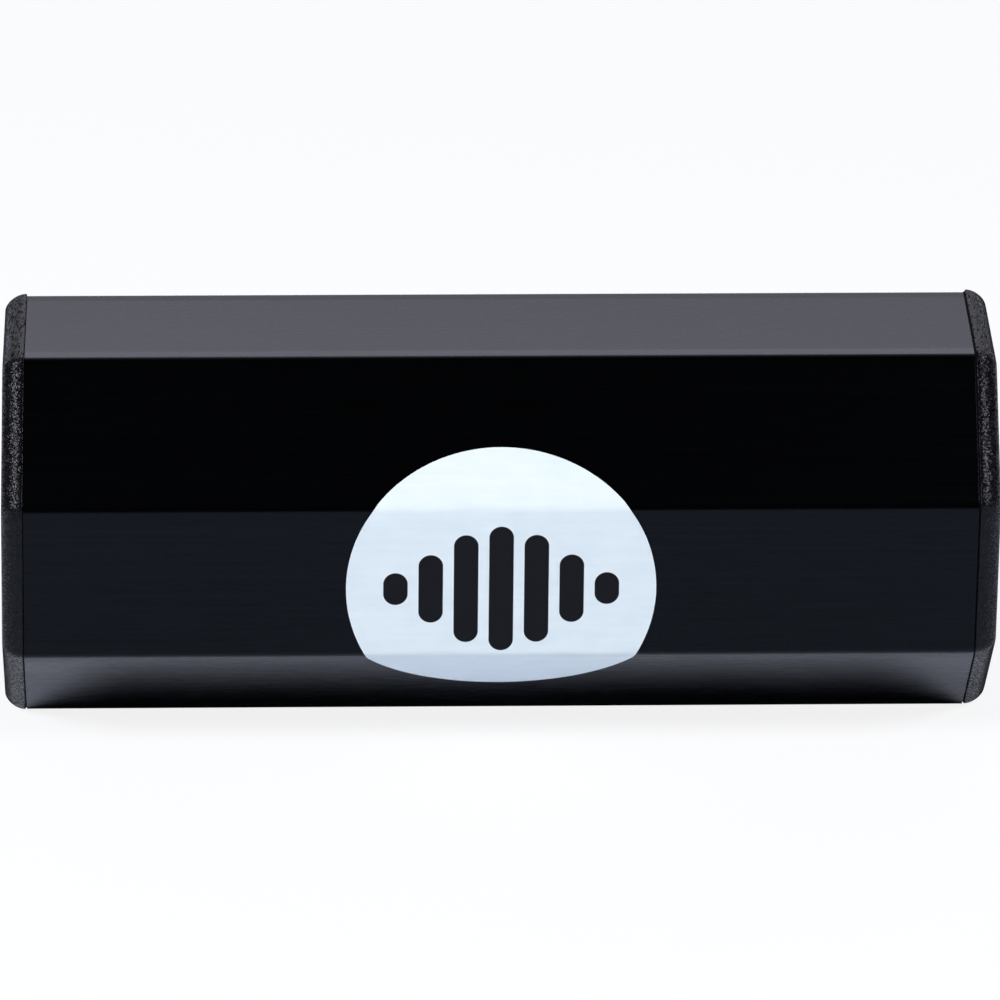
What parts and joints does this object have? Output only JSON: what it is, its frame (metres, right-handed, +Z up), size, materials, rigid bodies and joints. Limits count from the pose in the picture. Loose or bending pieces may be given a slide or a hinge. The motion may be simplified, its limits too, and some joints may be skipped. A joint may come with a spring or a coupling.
{
  "type": "percussion shaker",
  "caption": "Octagonal black aluminium tube shaker with plug-in plastic end caps, a round white label over its front facets and loose steel shot inside.",
  "frame": {"origin": "middle of the part at the level of the end caps' lowest flats, which it lies on", "axes": "+X along the tube towards the right end cap, -Y towards the label's side, +Z up from the flat it lies on"},
  "size_m": [0.1302, 0.0511, 0.051],
  "materials": {
    "black_anodised_aluminium": "satin black anodised, faint die lines along the length",
    "black_moulded_plastic": "fine eroded grain",
    "white_label_film": "satin printed film",
    "steel_shot": "bright rolled steel"
  },
  "bodies": {
    "shaker_body": {"tube": "black_anodised_aluminium", "left_end_cap": "black_moulded_plastic", "right_end_cap": "black_moulded_plastic", "front_label": "white_label_film"},
    "shot_row1": {"shot_row1_ball01": "steel_shot", "shot_row1_ball02": "steel_shot", "shot_row1_ball03": "steel_shot", "shot_row1_ball04": "steel_shot", "shot_row1_ball05": "steel_shot", "shot_row1_ball06": "steel_shot", "shot_row1_ball07": "steel_shot", "shot_row1_ball08": "steel_shot", "shot_row1_ball09": "steel_shot", "shot_row1_ball10": "steel_shot", "shot_row1_ball11": "steel_shot", "shot_row1_ball12": "steel_shot", "shot_row1_ball13": "steel_shot"},
    "shot_row2": {"shot_row2_ball01": "steel_shot", "shot_row2_ball02": "steel_shot", "shot_row2_ball03": "steel_shot", "shot_row2_ball04": "steel_shot", "shot_row2_ball05": "steel_shot", "shot_row2_ball06": "steel_shot", "shot_row2_ball07": "steel_shot", "shot_row2_ball08": "steel_shot", "shot_row2_ball09": "steel_shot", "shot_row2_ball10": "steel_shot", "shot_row2_ball11": "steel_shot", "shot_row2_ball12": "steel_shot", "shot_row2_ball13": "steel_shot"},
    "shot_row3": {"shot_row3_ball01": "steel_shot", "shot_row3_ball02": "steel_shot", "shot_row3_ball03": "steel_shot", "shot_row3_ball04": "steel_shot", "shot_row3_ball05": "steel_shot", "shot_row3_ball06": "steel_shot", "shot_row3_ball07": "steel_shot", "shot_row3_ball08": "steel_shot", "shot_row3_ball09": "steel_shot", "shot_row3_ball10": "steel_shot", "shot_row3_ball11": "steel_shot", "shot_row3_ball12": "steel_shot", "shot_row3_ball13": "steel_shot"},
    "shot_row4": {"shot_row4_ball01": "steel_shot", "shot_row4_ball02": "steel_shot", "shot_row4_ball03": "steel_shot", "shot_row4_ball04": "steel_shot", "shot_row4_ball05": "steel_shot", "shot_row4_ball06": "steel_shot", "shot_row4_ball07": "steel_shot", "shot_row4_ball08": "steel_shot", "shot_row4_ball09": "steel_shot", "shot_row4_ball10": "steel_shot", "shot_row4_ball11": "steel_shot", "shot_row4_ball12": "steel_shot", "shot_row4_ball13": "steel_shot"}
  },
  "joints": [
    {"name": "shot_row1_run", "type": "slide", "parent": "shaker_body", "child": "shot_row1", "axis": [1, 0, 0], "range_m": [-0.0178, 0.0268]},
    {"name": "shot_row2_run", "type": "slide", "parent": "shaker_body", "child": "shot_row2", "axis": [1, 0, 0], "range_m": [-0.0268, 0.0178]},
    {"name": "shot_row3_run", "type": "slide", "parent": "shaker_body", "child": "shot_row3", "axis": [1, 0, 0], "range_m": [-0.0178, 0.0268]},
    {"name": "shot_row4_run", "type": "slide", "parent": "shaker_body", "child": "shot_row4", "axis": [1, 0, 0], "range_m": [-0.0268, 0.0178]}
  ]
}
